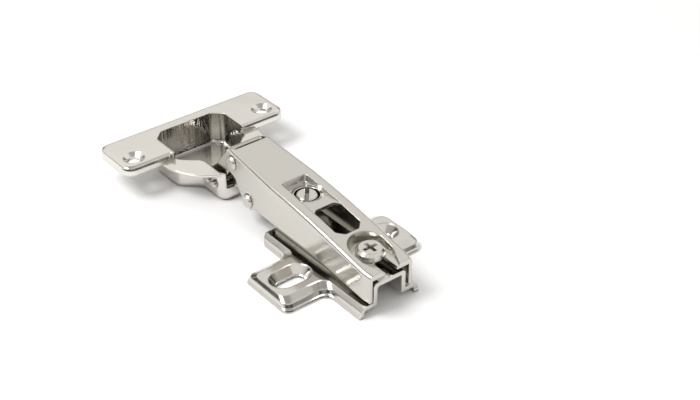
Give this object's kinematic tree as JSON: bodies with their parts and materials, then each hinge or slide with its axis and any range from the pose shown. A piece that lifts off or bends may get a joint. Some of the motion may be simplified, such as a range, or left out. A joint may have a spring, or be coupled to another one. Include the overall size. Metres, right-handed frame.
{
  "type": "concealed cup hinge",
  "caption": "Concealed cabinet hinge: round drilled-in cup with screw wings, four-bar links and a slide-on arm clamped to a cross-shaped mounting plate.",
  "frame": {"origin": "centre of the mounting plate's underside, midway between its two screw slots", "axes": "+X from the mounting plate toward the cup, +Y across the hinge, +Z away from the cabinet side the plate is screwed to"},
  "size_m": [0.1064, 0.0596, 0.0216],
  "materials": {
    "plate_steel": "nickel plated, bright",
    "screw_steel": "nickel plated",
    "arm_steel": "nickel plated, satin top",
    "rivet_steel": "nickel plated",
    "spring_steel": "bare spring steel",
    "link_steel": "nickel plated, bright",
    "cup_steel": "nickel plated, bright"
  },
  "bodies": {
    "plate": {"mounting_plate": "plate_steel"},
    "clamp_screw": {"clamp_screw": "screw_steel"},
    "arm": {"arm": "arm_steel", "front_rivet": "rivet_steel", "rear_rivet": "rivet_steel", "closing_spring": "spring_steel"},
    "side_screw": {"side_screw": "screw_steel"},
    "inner_link": {"inner_link": "link_steel"},
    "outer_link": {"outer_link": "link_steel"},
    "cup": {"cup": "cup_steel", "far_cup_pin": "rivet_steel", "near_cup_pin": "rivet_steel"}
  },
  "joints": [
    {"name": "clamp_screw_turn", "type": "hinge", "parent": "plate", "child": "clamp_screw", "pos_m": [-0.0156, 0, 0.01], "axis": [0, 0, 1], "continuous": true},
    {"name": "arm_slide", "type": "slide", "parent": "plate", "child": "arm", "axis": [1, 0, 0], "range_m": [-0.001, 0.002]},
    {"name": "side_screw_turn", "type": "hinge", "parent": "arm", "child": "side_screw", "pos_m": [0.0129, 0, 0.015], "axis": [0, 0, 1], "continuous": true},
    {"name": "inner_link_swing", "type": "hinge", "parent": "arm", "child": "inner_link", "pos_m": [0.0323, 0, 0.0082], "axis": [0, -1, 0], "range_deg": [-32, 2.9]},
    {"name": "outer_link_swing", "type": "hinge", "parent": "arm", "child": "outer_link", "pos_m": [0.0404, 0, 0.0174], "axis": [0, -1, 0], "range_deg": [-27.8, 2.6]},
    {"name": "cup_swing", "type": "hinge", "parent": "inner_link", "child": "cup", "pos_m": [0.04995, 0, 0.0054], "axis": [0, -1, 0], "range_deg": [-10.8, 121.9]}
  ],
  "couplings": [
    {"joint": "inner_link_swing", "follows": "cup_swing", "ratio": -0.262},
    {"joint": "outer_link_swing", "follows": "cup_swing", "ratio": -0.227}
  ]
}
